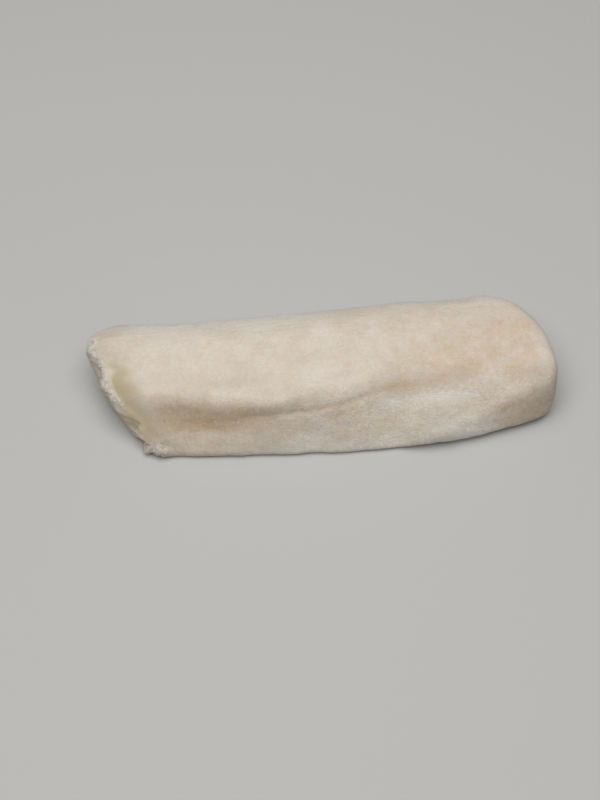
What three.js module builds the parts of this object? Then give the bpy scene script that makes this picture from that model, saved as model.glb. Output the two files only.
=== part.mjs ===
// A frozen cod loin portion, lying skin side down on its flat face.
// Millimetres. +X runs along the loin, -Y is its thin front flank, +Z is up.
// The cut end with the frosty rim is at -X and the rounded end is at +X.

import * as THREE from "three";
import { mergeVertices } from "three/addons/utils/BufferGeometryUtils.js";

// Overall size
const LENGTH = 158;            // blank that the loin is shaped from
const WIDTH = 52;
const CREST_HEIGHT = 26;       // thickest place, near the middle
const CREST_FALL = 0.00055;    // how fast the back drops towards the ends, per mm
const CREST_X = 5;             // where along the loin it is thickest
const CREST_Y = 4;             // the crest runs a little behind the middle
const CROWN_BACK = 0.0135;     // rounding of the top across, behind the crest
const CROWN_FRONT_LEFT = 0.0105;
const CROWN_FRONT_RIGHT = 0.0135;

// Edges seen from above
const BACK_EDGE = 22.3;
const BACK_EDGE_ROUND = 9;
const FRONT_EDGE = -25.9;
const FLANK_ROUND = 8;
const FOOT_ROUND = 4;          // rounding down to the flat face
const BELLY_OUT = 1.2;         // the flank bulges towards the rounded end
const TUCK_UP = 3.5;           // and tucks in below this height
const RIGHT_ARC_RADIUS = 43;
const RIGHT_ARC_X = 33.4;
const RIGHT_ARC_Y = -10.3;
const RIGHT_RIM_ROUND = 4;

// The seam where the two muscles meet along the front
const SEAM_Y = -14.6;
const SEAM_Z = 12.8;
const SEAM_WALL_DEG = 74;      // steep side of the big muscle above the seam
const SHOULDER_ROUND = 3.4;
const SEAM_GROOVE = 0.32;

// The cut left end
const CUT_X = -78;
const RIM_FOOT = 5.5;          // height of the rim at the front corner
const RIM_RISE = 14.7;         // and what it gains towards the back
const LIP_HEIGHT = 0.7;        // frosty crust standing up along the cut
const LIP_WIDTH = 1.2;
const RIM_IN = 1.8;            // the rim stands this far in from the cut
const RIM_TILT = 0.5;          // and slopes down to the cut
const NOSE_RUN = 9;            // from the hollow behind the rim up to the crest

// The thin flap lapped over the back right edge
const FLAP_THICK = 0.55;

// Mesh stations along, across and up
const ALONG = 84;
const ACROSS = 22;
const UP = 10;

const rad = (deg) => deg * Math.PI / 180;

// Smooth step from 0 at a to 1 at b.
function ramp(v, a, b) {
  const t = THREE.MathUtils.clamp((v - a) / (b - a), 0, 1);
  return t * t * (3 - 2 * t);
}

// Rounded hill of height 1 at c.
function hill(v, c, w) {
  return Math.exp(-(((v - c) / w) ** 2));
}

// Smaller and larger of two depths, blended over r.
function lesser(a, b, r) {
  const h = Math.max(1 - Math.abs(a - b) / r, 0);
  return Math.min(a, b) - h * h * r / 4;
}

function greater(a, b, r) {
  return -lesser(-a, -b, r);
}

// Repeatable smooth noise between -1 and 1, one lump to the unit.
function lattice(i, j, k) {
  const s = Math.sin(i * 127.1 + j * 311.7 + k * 74.7) * 43758.5453;
  return (s - Math.floor(s)) * 2 - 1;
}

function noise(x, y, z) {
  const i = Math.floor(x);
  const j = Math.floor(y);
  const k = Math.floor(z);
  const u = ramp(x - i, 0, 1);
  const v = ramp(y - j, 0, 1);
  const w = ramp(z - k, 0, 1);
  const mix = THREE.MathUtils.lerp;
  const sheet = (n) => mix(
    mix(lattice(i, j, n), lattice(i + 1, j, n), u),
    mix(lattice(i, j + 1, n), lattice(i + 1, j + 1, n), u),
    v,
  );
  return mix(sheet(k), sheet(k + 1), w);
}

// The back edge bulges under the flap and draws in at both corners.
function backEdge(x) {
  let y = BACK_EDGE + 1.7 * ramp(x, -22, 34);
  y += 2.0 * ramp(-x, 40, 68) - 0.5 * hill(x, -12, 22);
  y += 1.3 * ramp(x, 48, 55) * (1 - ramp(x, 65.5, 68));
  y -= 1.5 * ramp(x, 66, 72);
  return y;
}

// The front edge is a shallow bow, tighter towards the rounded end.
function frontEdge(x) {
  const bow = x < 16 ? 0.00062 : 0.0023;
  const y = FRONT_EDGE + bow * (x - 16) ** 2 + 0.2 * noise(x * 0.16, 5.5, 0.5);
  return y - 0.5 * hill(x, 42, 14) - 0.5 * hill(x, -8, 10)
    - 0.7 * hill(x, -46, 16) - 0.9 * hill(x, -54, 5);
}

// The seam wanders back and climbs from the cut end to the rounded end.
function seamY(x) {
  let y = SEAM_Y - 2.0 * ramp(x, -55, -12);
  y += 4.9 * ramp(x, -1, 26);
  y += 0.35 * noise(x * 0.2, 0.5, 0.5);
  return y;
}

function seamZ(x) {
  return SEAM_Z + 7.0 * ramp(x, -50, 36) + 1.9 * ramp(x, 38, 60);
}

// Thickness of the flap over the back right edge, 0 to 1.
function flap(x, y) {
  const start = 14 + 0.4 * Math.sin(x * 0.5);
  return ramp(x, 38, 46) * (1 - ramp(x, 66.2, 67)) * ramp(y, start, start + 3);
}

// Distance in from the slanting saw cut.
function inFromCut(x, y) {
  const d = 9 - Math.max(y, -20.5);
  const edge = CUT_X + (d > 0 ? 0.2 * d + 0.015 * d * d : 0.05 * d * d)
    + 1.4 * ramp(d, 24, 27) + 1.3 * hill(y, 4, 4) + 0.8 * hill(y, -13.6, 2.5);
  const slant = d > 0 ? 0.2 + 0.03 * d : 0.1 * d;
  return (x - edge - 0.5 * noise(y * 0.33, 3.5, 7.5)) / Math.sqrt(1 + slant * slant);
}

// Height of the rim along the cut, falling to the front corner.
function rimZ(y) {
  const t = THREE.MathUtils.clamp((6 - y) / 24, 0, 1);
  return RIM_FOOT + RIM_RISE * (1 - t * t) + 0.12 * Math.max(y - 6, 0);
}

function rimCrest(y) {
  return rimZ(y) + RIM_TILT * RIM_IN;
}

// How far in from the cut the hollow behind the rim lies.
function hollowIn(y) {
  return THREE.MathUtils.clamp(4.4 + 0.25 * y, 2.2, 5.6);
}

// Depth inside an ellipsoid, roughly.
function lump(x, y, z, at, size) {
  const q = Math.hypot((x - at.x) / size.x, (y - at.y) / size.y, (z - at.z) / size.z);
  return (1 - q) * Math.min(size.x, size.y, size.z);
}

// Nubs of frost: two at the front corner of the cut, two at the back one.
const NUBS = [
  { at: new THREE.Vector3(-59.3, -18.5, 2.5), size: new THREE.Vector3(2.4, 1.8, 2.1), blend: 1.2 },
  { at: new THREE.Vector3(-54.8, -20, 3), size: new THREE.Vector3(2.4, 1.9, 2.6), blend: 1.2 },
  { at: new THREE.Vector3(-74.9, 13, 19.6), size: new THREE.Vector3(1.9, 2.6, 1.7), blend: 0.8 },
  { at: new THREE.Vector3(-76.5, 10.9, 17.6), size: new THREE.Vector3(1.4, 1.5, 1.6), blend: 0.8 },
];

// Height of the big muscle's top before its sides are cut, falling to the hollow at the cut.
function topDepth(x, y, z) {
  let crown = CROWN_BACK;
  if (y < CREST_Y) {
    crown = CROWN_FRONT_LEFT + (CROWN_FRONT_RIGHT - CROWN_FRONT_LEFT) * ramp(x, -30, 30);
  }
  const swell = 0.45 * noise(x * 0.045 + 9, y * 0.09 + 3, 0.5)
    + 0.25 * noise(x * 0.11, y * 0.2 + 7, 4.5);
  const crest = CREST_HEIGHT - CREST_FALL * (x - CREST_X) ** 2
    + swell + FLAP_THICK * flap(x, y)
    - crown * (y - CREST_Y) ** 2;
  const slope = 2 * crown * (y - CREST_Y);
  const run = NOSE_RUN + 4 * ramp(y, -5, 6);
  const left = 1 - THREE.MathUtils.clamp((inFromCut(x, y) - hollowIn(y)) / run, 0, 1);
  const fall = Math.max(crest - rimCrest(y), 0);
  const nose = 2 * fall * left / run;
  return (crest - fall * left * left - z) / Math.sqrt(1 + slope * slope + nose * nose);
}

// The big muscle: its top and the steep wall down to the seam.
function bigMuscle(x, y, z) {
  const lean = rad(SEAM_WALL_DEG - 22 * ramp(x, -18, 12) + 4 * ramp(x, 20, 36));
  const wall = (y - seamY(x)) * Math.sin(lean) - (z - seamZ(x)) * Math.cos(lean);
  const round = SHOULDER_ROUND + 2.5 * ramp(x, -15, 0) * (1 - ramp(x, 5, 20));
  return lesser(topDepth(x, y, z), wall, round);
}

// The outer wall of the flank: leaning back on the left, bulging and tucked in on the right.
function flankWall(x, y, z) {
  const tucked = ramp(x, 10, 36) * (1 - ramp(x, 70, 84));
  const lean = rad(76 - 7 * ramp(x, -20, 8) + 17 * ramp(x, 10, 36) - 5 * ramp(x, 52, 60));
  const inside = y - frontEdge(x) + BELLY_OUT * tucked;
  const under = (inside + z - TUCK_UP) * 0.7 + 5 * (1 - tucked);
  return lesser(inside * Math.sin(lean) - z * Math.cos(lean), under, 3);
}

// The small muscle: a sloping roof in front of the seam, rounded into the flank.
function smallMuscle(x, y, z) {
  const pitch = rad(45 + 15 * ramp(x, -30, 4) - 32 * ramp(x, 14, 40) - 12 * ramp(x, 44, 60));
  const roof = (seamZ(x) - z) * Math.cos(pitch) + (y - seamY(x)) * Math.sin(pitch)
    + 0.3 * noise(x * 0.12, y * 0.12 + 2, z * 0.12);
  const belly = ramp(x, 10, 36) * (1 - ramp(x, 48, 58));
  const shoulder = (seamZ(x) - 3.5 - z) * 0.68 + (y - seamY(x) + 7.2) * 0.73 + 6 * (1 - belly);
  const round = FLANK_ROUND - 4 * ramp(x, -30, 0) - 1.5 * ramp(x, 44, 60);
  const front = lesser(lesser(roof, shoulder, 4), flankWall(x, y, z), round);
  const body = lesser(front, seamY(x) + 6 - y, 2);
  return lesser(body, topDepth(x, y, z) - 0.3 + 8 * ramp(-x, 8, 34), 4);
}

// The saw cut: hollow behind the rim, ragged lip, and the end face, which leans out in two places.
function cutEnd(body, x, y, z) {
  const e = inFromCut(x, y);
  const rim = rimZ(y);
  const atBack = ramp(y, -2, 3) * (1 - ramp(y, 6, 11));
  const crag = noise(x * 0.42, y * 0.42, z * 0.42) + 0.5 * noise(x * 0.9, y * 0.9, z * 0.9);
  const lip = LIP_HEIGHT * (0.35 + 0.5 * atBack + 0.5 * crag) * hill(e, RIM_IN, LIP_WIDTH);
  const rise = 1.3 * greater(e - hollowIn(y), 0, 2.5);
  const height = rimCrest(y) - RIM_TILT * Math.max(RIM_IN - e, 0) + lip + rise;
  const shelf = (height - z) / Math.sqrt(1 + 1.7 * ramp(e, 4, 8));
  const under = 0.17 + 0.3 * hill(y, -16.2, 2.6);
  const layers = 0.25 * Math.sin(z * 2.1 + 0.3 * x) * hill(y, -14.5, 4);
  const flake = hill(y, -13.6, 2);
  const leanOut = 2.1 * atBack * ramp(z, rim - 7.5, rim + 1)
    + 2.2 * flake * ramp(z, rim - 6, rim + 0.5);
  const inward = leanOut + under * Math.max(rim - 5 * atBack - 4 * flake - z, 0);
  const face = (e - inward + layers - 0.4 * crag * ramp(z, rim - 5, rim - 1)) / 1.05;
  const corner = (x + 79.6) * 0.75 - (y - 15.1) * 0.66;
  return lesser(lesser(lesser(body, shelf, 1.6), face, 1), corner, 1.6);
}

// Depth below the surface at a point: positive inside the loin.
function depth(x, y, z) {
  const blend = 1.4 + 1.2 * ramp(-x, 30, 55) + 4.4 * ramp(x, 32, 60);
  let body = greater(bigMuscle(x, y, z), smallMuscle(x, y, z), blend);
  const off = (y - seamY(x)) ** 2 + (z - seamZ(x)) ** 2;
  const fade = ramp(x, -58, -40) * (1 - ramp(x, 22, 44));
  body -= SEAM_GROOVE * Math.exp(-off / 1.9) * fade;
  body = lesser(body, flankWall(x, y, z), 2);
  body = lesser(body, backEdge(x) - 0.012 * (z - 9) ** 2 - y, BACK_EDGE_ROUND);
  body = cutEnd(body, x, y, z);
  const fromArc = Math.hypot(Math.max(x, RIGHT_ARC_X) - RIGHT_ARC_X, y - RIGHT_ARC_Y);
  const arc = RIGHT_ARC_RADIUS - fromArc - 0.15 * Math.max(9 - z, 0)
    + 0.25 * noise(x * 0.2, y * 0.2, z * 0.2);
  body = lesser(body, arc, RIGHT_RIM_ROUND);
  for (const nub of NUBS) {
    body = greater(body, lump(x, y, z, nub.at, nub.size), nub.blend);
  }
  return lesser(body, z, FOOT_ROUND);
}

// A box of the loin's size, each point drawn along a ray from an inner core to the surface.
// The finished loin is moved so that the middle of its foot is the origin.
function loinGeometry() {
  const blank = new THREE.BoxGeometry(LENGTH, WIDTH - 6, CREST_HEIGHT - 2, ALONG, ACROSS, UP);
  blank.translate(0, 0, CREST_HEIGHT / 2 - 1);
  blank.deleteAttribute("normal");
  blank.deleteAttribute("uv");
  const geometry = mergeVertices(blank, 1e-4);
  const core = new THREE.Box3(new THREE.Vector3(-60, -8, 7), new THREE.Vector3(62, 10, 11));
  const place = geometry.attributes.position;
  const point = new THREE.Vector3();
  const start = new THREE.Vector3();
  const way = new THREE.Vector3();
  for (let n = 0; n < place.count; n += 1) {
    point.fromBufferAttribute(place, n);
    const s = point.x / (LENGTH / 2);
    point.x = (LENGTH / 2) * (1.15 * s - 0.15 * s ** 3);
    start.copy(point).clamp(core.min, core.max);
    way.copy(point).sub(start).normalize();
    let near = 0;
    let far = 45;
    for (let step = 0; step < 30; step += 1) {
      const mid = (near + far) / 2;
      point.copy(start).addScaledVector(way, mid);
      if (depth(point.x, point.y, point.z) > 0) {
        near = mid;
      } else {
        far = mid;
      }
    }
    point.copy(start).addScaledVector(way, near);
    if (point.z < 0.01) {
      point.z = 0;
    }
    place.setXYZ(n, point.x, point.y, point.z);
  }
  geometry.computeBoundingBox();
  const middle = geometry.boundingBox.getCenter(new THREE.Vector3());
  geometry.translate(-middle.x, -middle.y, 0);
  geometry.computeVertexNormals();
  return geometry;
}

const flesh = new THREE.MeshStandardMaterial({ color: 0xd2c6b5, roughness: 0.7, metalness: 0 });
const loin = new THREE.Mesh(loinGeometry(), flesh);
loin.name = "cod_loin";

const group = new THREE.Group();
group.name = "frozen_cod_loin";
group.add(loin);

export default group;
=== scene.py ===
import math

import bmesh
import bpy
import numpy as np
from mathutils import Euler, Matrix, Vector


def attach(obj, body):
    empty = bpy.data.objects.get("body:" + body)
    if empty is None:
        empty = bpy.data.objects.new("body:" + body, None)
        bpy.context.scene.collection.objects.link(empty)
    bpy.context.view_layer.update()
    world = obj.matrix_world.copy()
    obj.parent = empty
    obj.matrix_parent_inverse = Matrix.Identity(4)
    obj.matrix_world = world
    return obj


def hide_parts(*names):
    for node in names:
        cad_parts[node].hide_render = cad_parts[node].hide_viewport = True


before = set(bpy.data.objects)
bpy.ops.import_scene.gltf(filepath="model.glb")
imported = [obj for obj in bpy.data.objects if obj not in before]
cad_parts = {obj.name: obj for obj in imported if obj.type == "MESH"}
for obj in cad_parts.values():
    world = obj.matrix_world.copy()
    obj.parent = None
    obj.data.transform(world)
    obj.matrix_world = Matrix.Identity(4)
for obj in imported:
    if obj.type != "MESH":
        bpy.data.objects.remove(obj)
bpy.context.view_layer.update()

# The flesh of the loin
#
# A skinless back loin of cod, sawn from a frozen block of fillet. Two muscles lie side by side
# along it, the big one behind and the thin one in front, and a seam runs where they meet.
# The left end is a slanting saw cut with a ragged crust of frost standing up along its rim.

MM = 0.001           # sizes are in millimetres, and become metres where the mesh is placed
CENTRE_X = 0.521     # moves the loin so that the middle of its foot is the origin
CENTRE_Y = -0.204

# The crowned top: its crest, and how fast it falls from there, per square millimetre.
CREST_HEIGHT = 26.0
CREST_X = 5.0
CREST_Y = 4.0
CREST_FALL = 0.00055
CROWN_BACK = 0.0135
CROWN_FRONT_LEFT = 0.0105
CROWN_FRONT_RIGHT = 0.0135
FLAP_Y = 14.0
FLAP_THICK = 0.55

# The back, the right end and the foot. The walls reach out furthest at the waist.
WAIST = 9.0
BACK_EDGE = 23.5
BACK_EDGE_BOW = 0.012
BACK_EDGE_ROUND = 13.0
RIGHT_ARC_RADIUS = 43.3
RIGHT_ARC_X = 33.4
RIGHT_ARC_Y = -10.3
RIGHT_RIM_LEAN = 0.15
RIGHT_RIM_ROUND = 5.5
FOOT_ROUND = 3.6

# The front flank, which bulges out in places: by how much, where and how far along.
FRONT_EDGE = -25.9
FRONT_X = 16.0
FRONT_BOW_LEFT = 0.00062
FRONT_BOW_RIGHT = 0.0023
FRONT_BULGES = [(0.3, 46, 8), (0.5, 42, 14), (0.7, -46, 16), (0.5, -8, 10), (0.9, -54, 5)]
FLANK_DEG = 76.0
FLANK_ROUND = 8.0
BELLY_OUT = 1.2
TUCK_UP = 3.5
TUCK_ROUND = 3.0

# The seam, the wall of the big muscle over it and the roof of the small one in front of it.
SEAM_Y = -14.6
SEAM_Z = 12.8
SEAM_WALL_DEG = 74.0
SEAM_GROOVE = 0.32
SEAM_GROOVE_WIDE = 1.9
SHOULDER_ROUND = 3.4
ROOF_DEG = 45.0
ROOF_ROUND = 4.0

# The saw cut at the left end, its rim, the hollow behind the rim and the nose over that.
CUT_X = -78.0
CUT_Y = 9.0
CUT_FRONT_Y = -20.5
CUT_SLANT = 0.2
CUT_BOW_FRONT = 0.015
CUT_BOW_BACK = 0.05
RIM_FOOT = 5.5
RIM_RISE = 14.7
RIM_Y = 6.0
RIM_RUN = 24.0
RIM_CLIMB = 0.12
RIM_IN = 1.8
RIM_TILT = 0.5
LIP_HEIGHT = 0.7
LIP_WIDTH = 1.2
NOSE_RUN = 9.0

# Frosty nubs at the foot of the front corner and at the back corner of the cut: the middle,
# the half sizes and how far each one is blended in.
NUBS = [((-59.2, -18.7, 2.3), (2.3, 1.8, 1.7), 1.2),
        ((-57.1, -19.3, 1.9), (1.8, 1.5, 1.8), 1.0),
        ((-55.3, -19.7, 2.8), (2.4, 1.9, 2.4), 1.2),
        ((-74.9, 13.0, 19.6), (1.9, 2.6, 1.7), 0.8),
        ((-76.5, 10.9, 17.6), (1.4, 1.5, 1.6), 0.8)]

SCATTER = (127.1, 311.7, 74.7)    # turn a lattice point into a number that looks drawn
SCATTER_GAIN = 43758.5453


def ramp(v, a, b):
    """Smooth step from 0 at a to 1 at b."""
    t = np.clip((v - a) / (b - a), 0.0, 1.0)
    return t * t * (3.0 - 2.0 * t)


def band(v, a, b, c, d):
    """Rises from 0 at a to 1 at b, and falls from 1 at c to 0 at d."""
    return ramp(v, a, b) * (1 - ramp(v, c, d))


def hill(v, c, w):
    """Rounded hill of height 1 at c, fading out over w to each side."""
    return np.exp(-((v - c) / w) ** 2)


def lesser(a, b, r):
    """The smaller of two depths, rounded over r where they meet."""
    h = np.clip(1.0 - np.abs(a - b) / r, 0.0, None)
    return np.minimum(a, b) - h * h * r / 4.0


def greater(a, b, r):
    """The larger of two depths, rounded over r where they meet."""
    return -lesser(-a, -b, r)


def lattice(i, j, k):
    """Repeatable number between -1 and 1 at a point of the unit lattice."""
    s = np.sin(i * SCATTER[0] + j * SCATTER[1] + k * SCATTER[2]) * SCATTER_GAIN
    return (s - np.floor(s)) * 2.0 - 1.0


def noise(x, y, z):
    """Repeatable smooth noise between -1 and 1, one lump to the unit."""
    x, y, z = np.broadcast_arrays(x, y, z)
    i, j, k = np.floor(x), np.floor(y), np.floor(z)
    u, v, w = ramp(x - i, 0, 1), ramp(y - j, 0, 1), ramp(z - k, 0, 1)

    def sheet(n):
        near = lattice(i, j, n) + (lattice(i + 1, j, n) - lattice(i, j, n)) * u
        away = lattice(i, j + 1, n) + (lattice(i + 1, j + 1, n) - lattice(i, j + 1, n)) * u
        return near + (away - near) * v

    low = sheet(k)
    return low + (sheet(k + 1) - low) * w


def back_edge(x):
    """Where the back of the loin runs."""
    y = BACK_EDGE + 1.7 * ramp(x, -22, 34) + 2.0 * ramp(-x, 40, 68) - 0.5 * hill(x, -12, 22)
    y = y + 1.6 * hill(x, -70, 8) + 0.9 * hill(x, 28, 6)
    return y + 2.1 * band(x, 48, 57, 66, 69) - 1.3 * ramp(x, 66, 72)


def front_edge(x):
    """Where the foot of the front flank runs."""
    bow = np.where(x < FRONT_X, FRONT_BOW_LEFT, FRONT_BOW_RIGHT)
    y = FRONT_EDGE + bow * (x - FRONT_X) ** 2 + 0.2 * noise(x * 0.16, 5.5, 0.5)
    for out, middle, width in FRONT_BULGES:
        y = y - out * hill(x, middle, width)
    return y


def seam_y(x):
    """Where the seam runs, seen from above."""
    y = SEAM_Y - 2.0 * ramp(x, -55, -12) + 4.9 * ramp(x, -1, 26) + 0.35 * noise(x * 0.2, 0.5, 0.5)
    return y - 1.3 * hill(x, -34, 10) + 0.8 * hill(x, -54, 5) - 0.7 * hill(x, -17, 9)


def seam_z(x):
    """How high the seam runs."""
    return SEAM_Z + 7.0 * ramp(x, -50, 36) + 1.9 * ramp(x, 38, 60) + 1.2 * hill(x, -22, 13)


def flap(x, y):
    """The flap of flesh over the back right edge: 1 on it and 0 off it."""
    start = FLAP_Y + 0.4 * np.sin(x * 0.5)
    return band(x, 38, 46, 66.2, 67) * ramp(y, start, start + 3)


def in_from_cut(x, y):
    """How far in from the saw cut a point lies."""
    d = CUT_Y - np.maximum(y, CUT_FRONT_Y)
    edge = CUT_X + np.where(d > 0, CUT_SLANT * d + CUT_BOW_FRONT * d * d, CUT_BOW_BACK * d * d)
    slant = np.where(d > 0, CUT_SLANT + 2 * CUT_BOW_FRONT * d, 2 * CUT_BOW_BACK * d)
    edge = edge + 1.4 * ramp(d, 24.0, 27.0) + 1.3 * hill(y, 4.0, 4.0) + 0.8 * hill(y, -13.6, 2.5)
    return (x - edge - 0.5 * noise(y * 0.33, 3.5, 7.5)) / np.sqrt(1 + slant * slant)


def rim_z(y):
    """Height of the rim of the cut, low at the front corner."""
    t = np.clip((RIM_Y - y) / RIM_RUN, 0, 1)
    return RIM_FOOT + RIM_RISE * (1 - t * t) + RIM_CLIMB * np.clip(y - RIM_Y, 0, None)


def rim_crest(y):
    """Height of the flesh just behind the rim."""
    return rim_z(y) + RIM_TILT * RIM_IN


def hollow_in(y):
    """How far in from the cut the hollow behind the rim lies."""
    return np.clip(4.4 + 0.25 * y, 2.2, 5.6)


def lump(x, y, z, at, size):
    """Depth inside an egg-shaped lump, near enough close to its surface."""
    q = np.sqrt(sum(((v - c) / s) ** 2 for v, c, s in zip((x, y, z), at, size)))
    return (1 - q) * min(size)


def top_depth(x, y, z):
    """Depth below the crowned top and the nose that falls from it to the cut."""
    crown = CROWN_FRONT_LEFT + (CROWN_FRONT_RIGHT - CROWN_FRONT_LEFT) * ramp(x, -30, 30)
    crown = np.where(y < CREST_Y, crown, CROWN_BACK)
    swell = 0.45 * noise(x * 0.045 + 9, y * 0.09 + 3, 0.5)
    swell = swell + 0.25 * noise(x * 0.11, y * 0.2 + 7, 4.5)
    height = CREST_HEIGHT - CREST_FALL * (x - CREST_X) ** 2 + swell + FLAP_THICK * flap(x, y)
    height = height - crown * (y - CREST_Y) ** 2
    slope = 2 * crown * (y - CREST_Y)
    run = NOSE_RUN + 4.0 * ramp(y, -5, 6)
    left = 1 - np.clip((in_from_cut(x, y) - hollow_in(y)) / run, 0, 1)
    fall = np.clip(height - rim_crest(y), 0, None)
    height = height - fall * left ** 2
    nose = 2 * fall * left / run
    return (height - z) / np.sqrt(1 + slope * slope + nose * nose)


def big_muscle(x, y, z):
    """Depth inside the big muscle, under the top and behind its wall over the seam."""
    lean = SEAM_WALL_DEG - 22 * ramp(x, -18, 12) + 4 * ramp(x, 20, 36) + 4 * hill(x, -20, 9)
    lean = np.radians(lean)
    wall = (y - seam_y(x)) * np.sin(lean) - (z - seam_z(x)) * np.cos(lean)
    shoulder_round = SHOULDER_ROUND - 1.7 * hill(x, -16, 12) + 1.6 * band(x, -6, 2, 5, 20)
    return lesser(top_depth(x, y, z), wall, shoulder_round)


def flank_wall(x, y, z):
    """Depth behind the front flank, which is tucked in under the belly on the right."""
    tucked = band(x, 10, 36, 70, 84)
    lean = FLANK_DEG - 7 * ramp(x, -20, 8) + 17 * ramp(x, 10, 36) - 8 * ramp(x, 36, 52)
    lean = np.radians(lean)
    inside = y - front_edge(x) + BELLY_OUT * tucked
    under = (inside + z - TUCK_UP) * 0.7 + 5 * (1 - tucked)
    return lesser(inside * np.sin(lean) - z * np.cos(lean), under, TUCK_ROUND)


def small_muscle(x, y, z):
    """Depth inside the small muscle, under its roof and behind the front flank."""
    pitch = ROOF_DEG + 15 * ramp(x, -30, 4) - 32 * ramp(x, 14, 40) - 12 * ramp(x, 44, 60)
    pitch = np.radians(pitch)
    roof = (seam_z(x) - z) * np.cos(pitch) + (y - seam_y(x)) * np.sin(pitch)
    roof = roof + 0.3 * noise(x * 0.12, y * 0.12 + 2, z * 0.12)
    belly = band(x, 10, 36, 54, 62)
    chamfer_z = seam_z(x) - 3.5 - 3.2 * hill(x, 50, 9)
    chamfer = (chamfer_z - z) * 0.68 + (y - seam_y(x) + 7.2) * 0.73 + 6 * (1 - belly)
    roof = lesser(roof, chamfer, ROOF_ROUND)
    edge_round = FLANK_ROUND - 4 * ramp(x, -30, 0) - 1.2 * hill(x, 49, 9) - 1.5 * ramp(x, 56, 66)
    body = lesser(roof, flank_wall(x, y, z), edge_round)
    body = lesser(body, seam_y(x) + 6 - y, 2.0)
    return lesser(body, top_depth(x, y, z) - 0.3 + 8 * ramp(-x, 8, 34), ROOF_ROUND)


def cut_end(body, x, y, z):
    """The saw cut: hollow behind the rim, ragged lip, end wall leaning out at the back."""
    from_cut = in_from_cut(x, y)
    rim = rim_z(y)
    at_back = band(y, -7, 3, 6, 11)
    flake = hill(y, -13.6, 2.0)
    crag = noise(x * 0.42, y * 0.42, z * 0.42) + 0.5 * noise(x * 0.9, y * 0.9, z * 0.9)
    lip = LIP_HEIGHT * (0.35 + 0.5 * at_back + 0.5 * crag) * hill(from_cut, RIM_IN, LIP_WIDTH)
    rise = 1.3 * greater(from_cut - hollow_in(y), 0.0, 2.5)
    shelf = rim_crest(y) - RIM_TILT * np.clip(RIM_IN - from_cut, 0, None) + lip + rise - z
    shelf = shelf / np.sqrt(1 + 1.7 * ramp(from_cut, 4, 8))
    undercut = 0.17 + 0.3 * hill(y, -16.2, 2.6)
    layers = 0.25 * np.sin(z * 2.1 + 0.3 * x) * hill(y, -14.5, 4)
    inward = 1.5 * at_back * ramp(z, rim - 7.5, rim + 1) + 2.2 * flake * ramp(z, rim - 6, rim + 0.5)
    inward = inward + undercut * np.clip(rim - 5 * at_back - 4 * flake - z, 0, None)
    face = (from_cut - inward + layers - 0.4 * crag * ramp(z, rim - 5, rim - 1)) / 1.05
    back_corner = (x + 79.6) * 0.75 - (y - 15.1) * 0.66
    return lesser(lesser(lesser(body, shelf, 1.6), face, 1.0), back_corner, 1.6)


def depth(x, y, z):
    """Depth below the surface in millimetres, positive inside the loin."""
    seam_round = 1.4 + 1.2 * ramp(-x, 30, 55) + 4.4 * ramp(x, 32, 60)
    body = greater(big_muscle(x, y, z), small_muscle(x, y, z), seam_round)
    off = (y - seam_y(x)) ** 2 + (z - seam_z(x)) ** 2
    fade = (0.35 * ramp(x, -58, -40) + 0.65 * ramp(x, -35, -15)) * (1 - ramp(x, 8, 38))
    body = body - SEAM_GROOVE * np.exp(-off / SEAM_GROOVE_WIDE) * fade
    body = lesser(body, flank_wall(x, y, z), 2.0)
    body = lesser(body, back_edge(x) - BACK_EDGE_BOW * (z - WAIST) ** 2 - y, BACK_EDGE_ROUND)
    body = cut_end(body, x, y, z)
    arc = RIGHT_ARC_RADIUS - np.hypot(np.maximum(x, RIGHT_ARC_X) - RIGHT_ARC_X, y - RIGHT_ARC_Y)
    arc = arc - RIGHT_RIM_LEAN * np.clip(WAIST - z, 0, None)
    arc = arc + 0.25 * noise(x * 0.2, y * 0.2, z * 0.2)
    body = lesser(body, arc, RIGHT_RIM_ROUND)
    for at, size, blend in NUBS:
        body = greater(body, lump(x, y, z, at, size), blend)
    return lesser(body, z, FOOT_ROUND)


# A cube is cut into stations along, across and up, and stretched to a block. Each point of it
# then slides along its ray from a core inside the loin until it meets the surface.
STATIONS = (300, 88, 56)
BLOCK_LENGTH = 158.0
BLOCK_WIDTH = 46.0
BLOCK_HEIGHT = 24.0
END_CROWDING = 0.15    # brings the stations closer together towards both ends
CORE_LOW = np.array([-60.0, -8.0, 7.0])
CORE_HIGH = np.array([62.0, 10.0, 11.0])
REACH = 45.0
HALVINGS = 18

shell = bmesh.new()
bmesh.ops.create_cube(shell, size=2.0)
for axis, count in enumerate(STATIONS):
    others = [k for k in range(3) if k != axis]
    along = []
    for edge in shell.edges:
        run = edge.verts[1].co - edge.verts[0].co
        if abs(run[axis]) > 1e-3 and all(abs(run[k]) < 1e-4 for k in others):
            along.append(edge)
    bmesh.ops.subdivide_edges(shell, edges=along, cuts=count - 1, use_grid_fill=True)
flesh_mesh = bpy.data.meshes.new("loin_flesh")
shell.to_mesh(flesh_mesh)
shell.free()

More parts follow.
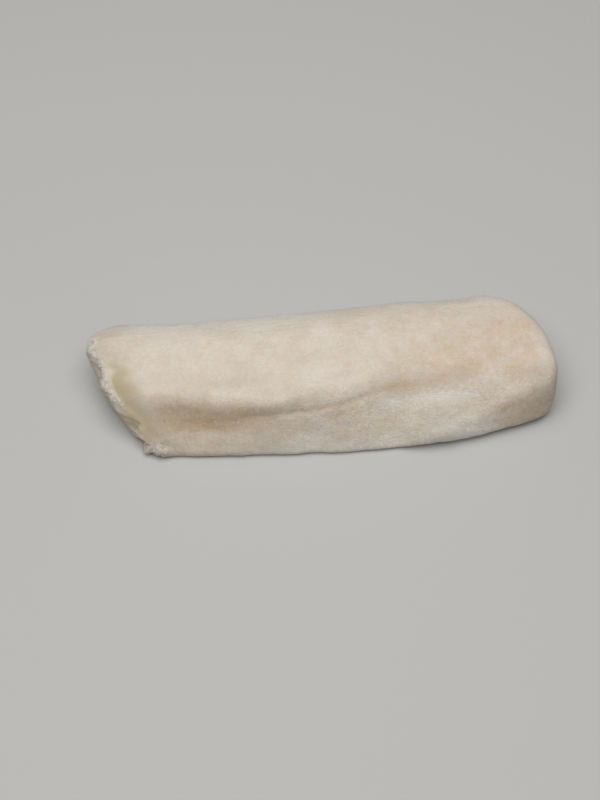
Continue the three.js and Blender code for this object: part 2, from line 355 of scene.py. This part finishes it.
unit = np.empty(len(flesh_mesh.vertices) * 3)
flesh_mesh.vertices.foreach_get("co", unit)
unit = unit.reshape(-1, 3)
point = np.empty_like(unit)
crowded = (1 + END_CROWDING) * unit[:, 0] - END_CROWDING * unit[:, 0] ** 3
point[:, 0] = BLOCK_LENGTH / 2 * crowded
point[:, 1] = BLOCK_WIDTH / 2 * unit[:, 1]
point[:, 2] = BLOCK_HEIGHT / 2 * (unit[:, 2] + 1)
core = np.clip(point, CORE_LOW, CORE_HIGH)
way = point - core
way /= np.linalg.norm(way, axis=1)[:, None]
near = np.zeros(len(point))
far = np.full(len(point), REACH)
for _ in range(HALVINGS):
    mid = (near + far) / 2
    inside = depth(*(core + way * mid[:, None]).T) > 0
    near = np.where(inside, mid, near)
    far = np.where(inside, far, mid)
point = core + way * near[:, None]


def outward(p, step=0.15):
    """Unit direction out of the flesh at each point."""
    gone = np.stack([depth(*(p + d).T) - depth(*(p - d).T) for d in np.eye(3) * step], axis=1)
    return -gone / np.linalg.norm(gone, axis=1)[:, None]


x, y, z = point.T
from_cut = in_from_cut(x, y)
from_seam = (y - seam_y(x)) + 0.25 * (z - seam_z(x))
rim = rim_z(y)


def patch(across, at, size):
    """Oval patch, 1 in its middle; across is y, or how far a point is from the seam."""
    return np.exp(-((x - at[0]) / size[0]) ** 2 - ((across - at[1]) / size[1]) ** 2)


# The crust of frost lies on the rim, as far in as its ragged edge, and on the front nubs.
CRUST_IN = 2.0
NUBS_AT = (-57.3, -19.6)
NUBS_SIZE = (4.8, 3.0)

near_rim_top = ramp(z, rim - 3.0, rim - 1.0)
ragged = CRUST_IN + 0.7 * ramp(y, 2, 9) + 0.6 * noise(y / 1.9, 0.5, 8.5)
ragged = ragged + 0.5 * noise(x / 0.9, y / 0.9, 3.5)
on_rim = (1 - ramp(from_cut, ragged, ragged + 1.6)) * near_rim_top
on_rim = on_rim * (1 - ramp(y, 13, 17)) * (1 - ramp(-y, 5, 12))
nub_top = 4 + 1.8 * ramp(x, -58, -55)
on_nubs = patch(y, NUBS_AT, NUBS_SIZE) * (1 - ramp(z, nub_top, nub_top + 3))
on_crust = np.clip(on_rim + 1.2 * on_nubs, 0, 1)

# The glassy hollow lies behind the rim, widest in its middle, and fades to the back.
deep = hollow_in(y)
wider = band(y, -2.5, 2, 1.5, 3.5)
in_hollow = ramp(from_cut, deep - 3.0 + 2.6 * wider, deep + 3.4 * wider) * ramp(z, 3, 6)
last = deep + 6.0 + 6.0 * wider + 2.5 * ramp(y, -11, -6)
in_hollow = in_hollow * (1 - ramp(from_cut, deep + 1.0 + 3.5 * wider, last))
in_hollow = in_hollow * (0.25 + 0.75 * ramp(-y, -9, -2))
in_hollow = in_hollow * (1 - ramp(y + 0.8 * (from_cut - deep), 2.5, 7.0))
in_hollow = in_hollow * (1 - 0.5 * ramp(-y, 11, 17))

# Relief of the frozen surface: soft felt-like lumps two to five millimetres across, flattened
# in the glassy hollow, and a crumbly crust along the rim.
COARSER_IN_FRONT = 1.2
FLAT_BELOW = 0.01

coarse = 1 + COARSER_IN_FRONT * (1 - ramp(y, -16, -9))
lumps = 0.03 * noise(x / 2.1, y / 2.1, z / 3.0) + 0.07 * noise(x / 3.7, y / 4.1, z / 5.0 + 5)
crumble = 0.34 * noise(x / 2.0, y / 2.0, z / 2.0) + 0.12 * noise(x, y, z + 9)
relief = coarse * lumps * (1 - 0.8 * in_hollow) * (1 - on_crust) + crumble * on_crust
off_foot = ramp(z, 0.0, 1.5)
facing = outward(point)
point = point + facing * (relief * off_foot)[:, None]
point[:, 2] = np.where(point[:, 2] < FLAT_BELOW, 0.0, point[:, 2])
placed = (point + np.array([CENTRE_X, CENTRE_Y, 0.0])) * MM
flesh_mesh.vertices.foreach_set("co", placed.ravel())

# Where the looks change over the surface, kept as values on its points. First come the parts
# that run in bands: by the cut, along the seam, on the flank, at the back and at the ends.
on_flank = y < 0
crease_mid = 0.6 - 0.8 * ramp(x, -34, -22)
valley_mid = 3.0 * ramp(x, 30, 44) - 12.1
looks = {
    "crust": on_crust,
    # Painted shade, darker on the end wall under the rim, the low nubs, the low foot at both ends,
    # the right end and its faces turned from the light; next to the back of the rim it is partly
    # clearer flesh and partly painted shade.
    "clear": 0.7 * (1 - ramp(from_cut, 3, 13)) * ramp(y, 1, 9) * near_rim_top * (1 - on_crust)
        + 0.7 * (1 - ramp(z, rim - 3.5, rim - 1.0)) * (1 - ramp(from_cut, 2, 5))
        + 0.7 * on_nubs * (1 - ramp(z, 3, 5))
        + 0.6 * (1 - ramp(z, 1.5, 5)) * ramp(-y, 8, 14) * (1 - ramp(x, -34, -16))
        + 0.6 * (1 - ramp(z, 1.5, 6)) * ramp(x, 52, 60) * on_flank
        + 0.5 * ramp(x, 60, 72) * (1 - ramp(facing[:, 2], 0.1, 0.6)) * ramp(y, -10, -2)
        + 0.8 * ramp(x, 63, 71) * ramp(-y, 5, 12),
    "hollow": in_hollow,
    # Brown tint and painted shade in the crease along the seam, and painted shade in the valley of
    # the small muscle on the right.
    "crease_tint_and_shade": 0.75 * hill(from_seam, crease_mid, 3.2) * band(x, -62, -44, -32, -9)
        + 0.25 * hill(y, seam_y(x), 0.9) * band(x, -30, -12, 20, 40)
        + 0.34 * hill(y, valley_mid, 2.0 + ramp(x, 32, 42)) * band(x, 12, 24, 46, 56),
    "beige": 0.6 * band(x, 44, 60, 67, 74) * (1 - 0.8 * ramp(y, 4, 14))
        + 0.7 * ramp(x, 50, 58) * ramp(-y, 10, 16) * (1 - ramp(z, 13, 17))
        + 0.3 * ramp(x, 64, 72) * ramp(-y, 6, 12)
        + 0.25 * patch(y, (-36, -18), (14, 4)) * (1 - ramp(z, 12, 15)),
    "coarse": (0.6 + 0.12 * ramp(x, -10, 10)) * (1 - ramp(y, -16, -9))
        + 0.4 * ramp(x, 46, 60) * ramp(-y, 4, 12) + 0.2 * ramp(x, 15, 45),
    "stranded": (0.5 + 0.5 * ramp(y, 2, 12)) * ramp(y, -12, -6) * (1 - 0.7 * ramp(x, 0, 45)),
    # Whiter frost, partly painted light: it lifts the ridge of the small muscle, the shaded lower
    # flank and the rounded back edge.
    "frost_and_painted_light": 0.5 * hill(y, -15.4, 1.5) * band(x, 14, 22, 42, 52)
        + 0.7 * (1 - ramp(z, 3, 10)) * band(x, -32, -8, 54, 62) * on_flank
        + 0.85 * (1 - ramp(z, 9, 15)) * band(x, 26, 40, 52, 60) * on_flank
        + 0.45 * ramp(y, 13, 21) + 0.6 * ramp(y, 9, 16) * band(x, -70, -58, -10, 10)
        + 0.3 * ramp(x, 68, 75) * (1 - ramp(-y, 4, 10)),
}

# Then come oval patches, by their strength, their middle and their half sizes along and
# across. The middle of a patch by the seam is given along x and from the seam.
PATCHES = {
    # Painted shade under the belly, and a darker streak on the top behind the seam.
    "clear": [(0.5, (34, -20.5), (8, 2.5)), (0.5, (-30, -8.3), (12, 2.2))],
    # Brown tint and painted shade where the crease starts at the left.
    "crease_tint_and_shade": [(0.18, (-54, -11.5), (6, 4.0))],
    "beige": [(0.75, (47, 1), (22, 11)), (0.7, (38, -7), (13, 4)), (0.9, (-50, -16.5), (12, 6))],
    # Whiter frost, partly painted light: spots of it brighten the ridge, the nose edge and the
    # corner at the right end.
    "frost_and_painted_light": [(0.3, (40, -14.8), (8, 2.2)), (0.45, (-4, -8.6), (8, 4.0)),
                (0.5, (60, -16.0), (3.5, 2.0)), (0.3, (-60, -10), (2.5, 3.5)),
                (0.5, (20, -16.0), (4, 2.0)), (0.4, (52, -13.0), (4, 3.0)),
                (0.3, (58, 13), (14, 6))],
}
SEAM_PATCHES = {
    # Brown tint and painted shade in spots along the seam.
    "crease_tint_and_shade": [(0.3, (-40, -1.1), (10, 1.6)), (0.4, (2.5, -1.8), (2.6, 1.6)),
               (0.2, (9, -1.6), (5, 1.8)), (0.45, (-38.5, -1.7), (3.2, 0.45))],
}
for name, values in looks.items():
    for strength, at, size in PATCHES.get(name, []):
        values = values + strength * patch(y, at, size)
    for strength, at, size in SEAM_PATCHES.get(name, []):
        values = values + strength * patch(from_seam, at, size)
    layer = flesh_mesh.attributes.new(name, "FLOAT", "POINT")
    layer.data.foreach_set("value", np.clip(values, 0, 1).astype(np.float32))
flesh_mesh.shade_smooth()


def tone(code):
    """Linear colour of an sRGB hex value."""
    parts = [int(code[k:k + 2], 16) / 255 for k in (0, 2, 4)]
    parts = [c / 12.92 if c < 0.04045 else ((c + 0.055) / 1.055) ** 2.4 for c in parts]
    return (*parts, 1.0)


def add(tree, kind, settings=None, **inputs):
    """Adds a node; each input is a value or the socket that feeds it, by name or by number."""
    made = tree.nodes.new(kind)
    for key, value in (settings or {}).items():
        setattr(made, key, value)
    for key, value in inputs.items():
        socket = made.inputs[int(key[1:])] if key[0] == "_" else made.inputs[key.replace("_", " ")]
        if isinstance(value, bpy.types.NodeSocket):
            tree.links.new(value, socket)
        else:
            socket.default_value = value
    return made


# Frozen cod flesh: matt, cream, a little translucent, under a thin felt of frost. Patches lean to
# beige or to white, the white partly painted light, the hollow by the cut is clearer and more
# olive, and painted shade darkens the crease and the faces turned from the light.
flesh = bpy.data.materials.new("frozen_cod_flesh")
flesh.use_nodes = True
tree = flesh.node_tree
tree.nodes.clear()
spread = {}
for name in looks:
    spread[name] = add(tree, "ShaderNodeAttribute", {"attribute_name": name}).outputs["Fac"]

# Patterns run in millimetres. Those of the frost are drawn twice as tall as they are wide, and
# the strands of muscle run along the loin, about 11 mm long and 0.9 mm across.
place = add(tree, "ShaderNodeTexCoord").outputs["Object"]
in_mm = add(tree, "ShaderNodeMapping", Vector=place, Scale=(1000, 1000, 1000)).outputs[0]
tall_mm = add(tree, "ShaderNodeMapping", Vector=place, Scale=(1000, 1000, 480)).outputs[0]
strand_mm = add(tree, "ShaderNodeMapping", Vector=place, Scale=(90, 1100, 1100)).outputs[0]

# Each pattern by its lumps to the unit, its detail and its roughness. Real felt of frost is
# finer than a tenth of a millimetre, so the felt and the grain are drawn coarser to show.
PATTERNS = {
    "cloud": (in_mm, 0.075, 3.0, 0.55),
    "blotch": (in_mm, 0.24, 3.0, 0.6),
    "rime": (in_mm, 0.8, 3.0, 0.75),
    "grain": (tall_mm, 2.2, 1.0, 0.6),
    "felt": (tall_mm, 0.8, 2.0, 0.6),
    "fleck": (tall_mm, 1.0, 2.0, 0.7),
    "strand": (strand_mm, 1.0, 1.0, 0.5),
}
pattern = {}
for name, (space, scale, detail, roughness) in PATTERNS.items():
    pattern[name] = add(tree, "ShaderNodeTexNoise", Vector=space, Scale=scale, Detail=detail,
                        Roughness=roughness).outputs["Fac"]

# The crust's two greys, white frost darkened partly as painted shade, then the coats over the cream
# of the flesh in turn: where each lies, how strong it is, the pattern that breaks it up between two
# values, and its colour.
rime = add(tree, "ShaderNodeMapRange", {"interpolation_type": "SMOOTHSTEP"},
           Value=pattern["rime"], From_Min=0.36, From_Max=0.6).outputs["Result"]
rime = add(tree, "ShaderNodeMix", {"data_type": "RGBA"},
           _0=rime, _6=tone("aca598"), _7=tone("cdc7bb")).outputs[2]
COATS = [
    (None, 1.0, ("cloud", 0.35, 0.65), tone("cfc4b4")),
    (None, 0.35, ("blotch", 0.42, 0.68), tone("c9b79f")),
    ("beige", 0.55, ("blotch", 0.05, 0.8), tone("c4ab8b")),
    # Whiter frost, partly a painted light on the ridge, the lower flank and the back edge.
    ("frost_and_painted_light", 1.0, ("blotch", 0.2, 0.6), tone("ddd7cf")),
    # Brown tint and painted shade in the crease.
    ("crease_tint_and_shade", 0.72, None, tone("b6986f")),
    ("coarse", 0.5, ("fleck", 0.56, 0.72), tone("e2ddd6")),
    ("hollow", 0.62, None, tone("b2a37b")),
    ("crust", 0.85, None, rime),
    # Painted shade, darker on the faces turned from the light and low by the floor; by the rim
    # partly clearer flesh.
    ("clear", 0.4, None, tone("a0978a")),
]
colour = tone("d6ccbf")
for where, strength, broken, coat in COATS:
    amount = strength
    if where:
        amount = add(tree, "ShaderNodeMath", {"operation": "MULTIPLY"},
                     _0=spread[where], _1=amount).outputs[0]
    if broken:
        name, low, high = broken
        pieces = add(tree, "ShaderNodeMapRange", {"interpolation_type": "SMOOTHSTEP"},
                     Value=pattern[name], From_Min=low, From_Max=high).outputs["Result"]
        amount = add(tree, "ShaderNodeMath", {"operation": "MULTIPLY"},
                     _0=pieces, _1=amount).outputs[0]
    colour = add(tree, "ShaderNodeMix", {"data_type": "RGBA"},
                 _0=amount, _6=colour, _7=coat).outputs[2]

# Fine light and dark: grain and felt, more of both where the surface is coarse, strands where
# the muscle shows, and little of it in the glassy hollow.
MIDDLE = (0.3, 0.7)    # the part of a pattern that is stretched to the two shades
shades = []
for ranges in ((("grain", 0.955, 1.04), ("felt", 0.965, 1.03)),
               (("grain", 0.93, 1.06), ("felt", 0.94, 1.05)),
               (("strand", 0.98, 1.02),)):
    shade = 1.0
    for name, low, high in ranges:
        part = add(tree, "ShaderNodeMapRange", Value=pattern[name], From_Min=MIDDLE[0],
                   From_Max=MIDDLE[1], To_Min=low, To_Max=high).outputs["Result"]
        shade = add(tree, "ShaderNodeMath", {"operation": "MULTIPLY"}, _0=part, _1=shade).outputs[0]
    shades.append(shade)
fine, coarser, stranded = shades
shade = add(tree, "ShaderNodeMix", _0=spread["coarse"], _2=fine, _3=coarser).outputs[0]
stranded = add(tree, "ShaderNodeMix", _0=spread["stranded"], _2=1.0, _3=stranded).outputs[0]
shade = add(tree, "ShaderNodeMath", {"operation": "MULTIPLY"}, _0=shade, _1=stranded).outputs[0]
glassy = add(tree, "ShaderNodeMath", {"operation": "MULTIPLY"},
             _0=spread["hollow"], _1=0.8).outputs[0]
shade = add(tree, "ShaderNodeMix", _0=glassy, _2=shade, _3=1.0).outputs[0]
colour = add(tree, "ShaderNodeMix", {"data_type": "RGBA", "blend_type": "MULTIPLY"},
             _0=1.0, _6=colour, _7=shade).outputs[2]

# The same patterns as a fine relief, deeper where the surface is coarse and nearly gone in
# the hollow, which is smoother too.
height = add(tree, "ShaderNodeMath", {"operation": "MULTIPLY"},
             _0=pattern["grain"], _1=0.35).outputs[0]
height = add(tree, "ShaderNodeMath", {"operation": "MULTIPLY_ADD"},
             _0=pattern["felt"], _1=0.5, _2=height).outputs[0]
strands = add(tree, "ShaderNodeMath", {"operation": "MULTIPLY"},
              _0=spread["stranded"], _1=0.5).outputs[0]
height = add(tree, "ShaderNodeMath", {"operation": "MULTIPLY_ADD"},
             _0=pattern["strand"], _1=strands, _2=height).outputs[0]
strength = add(tree, "ShaderNodeMapRange",
               Value=spread["coarse"], To_Min=0.48, To_Max=0.95).outputs["Result"]
glazed = add(tree, "ShaderNodeMapRange",
             Value=spread["hollow"], To_Min=1.0, To_Max=0.3).outputs["Result"]
strength = add(tree, "ShaderNodeMath", {"operation": "MULTIPLY"}, _0=strength, _1=glazed).outputs[0]
bump = add(tree, "ShaderNodeBump", Height=height, Distance=0.0008, Strength=strength)
rough = add(tree, "ShaderNodeMapRange",
            Value=spread["hollow"], To_Min=0.62, To_Max=0.42).outputs["Result"]
surface = add(tree, "ShaderNodeBsdfPrincipled", Base_Color=colour, Roughness=rough, IOR=1.36,
              Normal=bump.outputs["Normal"], Subsurface_Weight=0.5,
              Subsurface_Radius=(1.0, 0.72, 0.5), Subsurface_Scale=0.0025)
add(tree, "ShaderNodeOutputMaterial", Surface=surface.outputs[0])
flesh_mesh.materials.append(flesh)

loin = bpy.data.objects.new("loin_flesh", flesh_mesh)
bpy.context.scene.collection.objects.link(loin)
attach(loin, "root")
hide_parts("cod_loin")

# The frost along the cut
#
# Loose grains of hoar frost that grew on the crust where the saw ran: white, rough, about a
# millimetre across and sunk in by two thirds of their radius. They are thickest at the back
# corner of the cut and on the front nubs.
GRAINS = 160
GRAIN_SIZE = (0.3, 0.65)
GRAIN_STRETCH = (0.7, 1.3)
GRAIN_SUNK = 0.66
GRAIN_SEED = 7

draw = np.random.default_rng(GRAIN_SEED)
chance = on_crust ** 2 * (0.35 + 0.65 * ramp(y, -6, 4) + 0.9 * on_nubs)
sites = draw.choice(len(point), GRAINS, replace=False, p=chance / chance.sum())
frost = bmesh.new()
for site, away in zip(sites, outward(point[sites])):
    size = draw.uniform(*GRAIN_SIZE) * MM
    stretch = Matrix.Diagonal((*draw.uniform(*GRAIN_STRETCH, 3), 1.0))
    turn = Euler(draw.uniform(0, math.tau, 3)).to_matrix().to_4x4()
    seat = Matrix.Translation(placed[site] - away * size * GRAIN_SUNK)
    bmesh.ops.create_icosphere(frost, subdivisions=2, radius=size, matrix=seat @ turn @ stretch)
frost_mesh = bpy.data.meshes.new("frost_grains")
frost.to_mesh(frost_mesh)
frost.free()
frost_mesh.shade_smooth()

# Hoar frost: white ice grains that scatter light, a little grey where they are clearer.
ice = bpy.data.materials.new("hoar_frost")
ice.use_nodes = True
tree = ice.node_tree
tree.nodes.clear()
place = add(tree, "ShaderNodeTexCoord").outputs["Object"]
in_mm = add(tree, "ShaderNodeMapping", Vector=place, Scale=(1000, 1000, 1000)).outputs[0]
clear = add(tree, "ShaderNodeTexNoise",
            Vector=in_mm, Scale=0.9, Detail=2.0, Roughness=0.6).outputs["Fac"]
clear = add(tree, "ShaderNodeMapRange", {"interpolation_type": "SMOOTHSTEP"},
            Value=clear, From_Min=0.3, From_Max=0.7).outputs["Result"]
colour = add(tree, "ShaderNodeMix", {"data_type": "RGBA"},
             _0=clear, _6=tone("c8c1b4"), _7=tone("c0b8ab")).outputs[2]
surface = add(tree, "ShaderNodeBsdfPrincipled", Base_Color=colour, Roughness=0.95, IOR=1.31,
              Specular_IOR_Level=0.2, Subsurface_Weight=0.6,
              Subsurface_Radius=(1.0, 0.9, 0.8), Subsurface_Scale=0.001)
add(tree, "ShaderNodeOutputMaterial", Surface=surface.outputs[0])
frost_mesh.materials.append(ice)

grains = bpy.data.objects.new("frost_grains", frost_mesh)
bpy.context.scene.collection.objects.link(grains)
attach(grains, "root")

# The floor, the lights and the camera
#
# A plain pale tabletop under one wide soft light overhead and a weak even fill. The camera
# looks down at 60 degrees from the front, 5 degrees round to the left.
FLOOR_HALF = 3.0
FLOOR_TONE = "b7b6b3"
LIGHTS = [("overhead", (-0.06, -0.10, 0.89), 0.80, 8.95),    # place and size in metres, watts
          ("fill", (0.30, -0.90, 0.50), 0.80, 0.3)]
ROOM_LIGHT = 0.12
LOOK_AT = Vector((-0.00748, -0.0032, 0.0))
CAMERA_AZIMUTH = math.radians(-5.0)
CAMERA_HEIGHT = math.radians(60.0)
CAMERA_DISTANCE = 0.6
CAMERA_LENS = 80.0

floor_cut = bmesh.new()
bmesh.ops.create_grid(floor_cut, x_segments=1, y_segments=1, size=FLOOR_HALF)
floor_mesh = bpy.data.meshes.new("floor")
floor_cut.to_mesh(floor_mesh)
floor_cut.free()
floor = bpy.data.objects.new("floor", floor_mesh)
bpy.context.scene.collection.objects.link(floor)
table = bpy.data.materials.new("pale_tabletop")
table.use_nodes = True
table.node_tree.nodes["Principled BSDF"].inputs["Base Color"].default_value = tone(FLOOR_TONE)
table.node_tree.nodes["Principled BSDF"].inputs["Roughness"].default_value = 0.85
floor_mesh.materials.append(table)

for name, at, size, watts in LIGHTS:
    lamp = bpy.data.lights.new(name, "AREA")
    lamp.size = size
    lamp.energy = watts
    hung = bpy.data.objects.new(name, lamp)
    hung.location = at
    hung.rotation_euler = (Vector(at) - LOOK_AT).to_track_quat("Z", "Y").to_euler()
    bpy.context.scene.collection.objects.link(hung)
room = bpy.data.worlds.new("room")
room.use_nodes = True
room.node_tree.nodes["Background"].inputs["Color"].default_value = tone("ffffff")
room.node_tree.nodes["Background"].inputs["Strength"].default_value = ROOM_LIGHT
bpy.context.scene.world = room
bpy.context.scene.view_settings.view_transform = "Standard"

toward = Vector((math.sin(CAMERA_AZIMUTH) * math.cos(CAMERA_HEIGHT),
                 -math.cos(CAMERA_AZIMUTH) * math.cos(CAMERA_HEIGHT),
                 math.sin(CAMERA_HEIGHT)))
lens = bpy.data.cameras.new("camera")
lens.lens = CAMERA_LENS
camera = bpy.data.objects.new("camera", lens)
camera.location = LOOK_AT + toward * CAMERA_DISTANCE
camera.rotation_euler = toward.to_track_quat("Z", "Y").to_euler()
bpy.context.scene.collection.objects.link(camera)
bpy.context.scene.camera = camera
